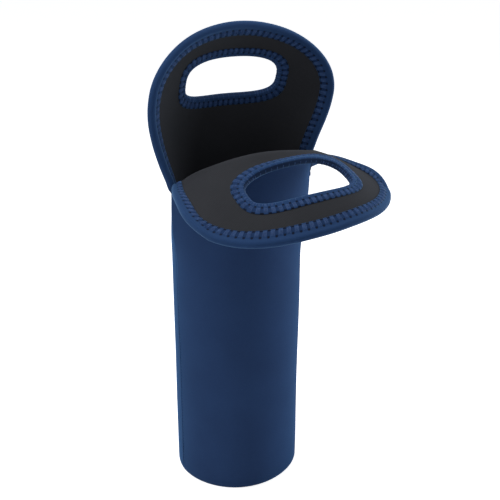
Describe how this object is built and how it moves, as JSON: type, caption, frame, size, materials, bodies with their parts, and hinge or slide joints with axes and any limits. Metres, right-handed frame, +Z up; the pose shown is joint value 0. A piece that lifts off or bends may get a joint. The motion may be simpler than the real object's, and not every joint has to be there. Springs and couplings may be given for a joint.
{
  "type": "bottle carrier",
  "caption": "Neoprene bottle carrier: a round padded sleeve whose two panels end in rounded flaps with hand slots, the front flap folded outwards.",
  "frame": {"origin": "centre of the underside of the base, on the axis of the round sleeve", "axes": "+Z up along the sleeve's axis, -Y the front, where the flap is folded outwards, +X to the right seen from the front"},
  "size_m": [0.1538, 0.1873, 0.3613],
  "materials": {
    "outer_knit": "matte",
    "foam": "matte",
    "lining_knit": "matte",
    "binding_knit": "matte",
    "thread": "satin"
  },
  "bodies": {
    "sleeve": {"front_panel_face": "outer_knit", "front_panel_foam": "foam", "front_panel_lining": "lining_knit", "rear_panel_face": "outer_knit", "rear_panel_foam": "foam", "rear_panel_lining": "lining_knit", "base_face": "outer_knit", "base_foam": "foam", "base_lining": "lining_knit", "base_seam": "thread", "left_side_seam": "thread", "right_side_seam": "thread", "front_fold_face": "outer_knit", "front_fold_foam": "foam", "front_fold_lining": "lining_knit", "front_fold_binding": "binding_knit", "rear_fold_face": "outer_knit", "rear_fold_foam": "foam", "rear_fold_lining": "lining_knit", "rear_fold_binding": "binding_knit"},
    "front_flap": {"front_flap_face": "outer_knit", "front_flap_foam": "foam", "front_flap_lining": "lining_knit", "front_rim_binding": "binding_knit", "front_rim_stitching": "thread", "front_grip_binding": "binding_knit", "front_grip_stitching": "thread"},
    "rear_flap": {"rear_flap_face": "outer_knit", "rear_flap_foam": "foam", "rear_flap_lining": "lining_knit", "rear_rim_binding": "binding_knit", "rear_rim_stitching": "thread", "rear_grip_binding": "binding_knit", "rear_grip_stitching": "thread"}
  },
  "joints": [
    {"name": "front_flap_fold", "type": "hinge", "parent": "sleeve", "child": "front_flap", "pos_m": [0, -0.05, 0.263], "axis": [-1, 0, 0], "range_deg": [-25, 105], "deforming": ["front_fold_face", "front_fold_foam", "front_fold_lining", "front_fold_binding"]},
    {"name": "rear_flap_fold", "type": "hinge", "parent": "sleeve", "child": "rear_flap", "pos_m": [0, 0.022, 0.263], "axis": [-1, 0, 0], "range_deg": [-5, 70], "deforming": ["rear_fold_face", "rear_fold_foam", "rear_fold_lining", "rear_fold_binding"]}
  ]
}
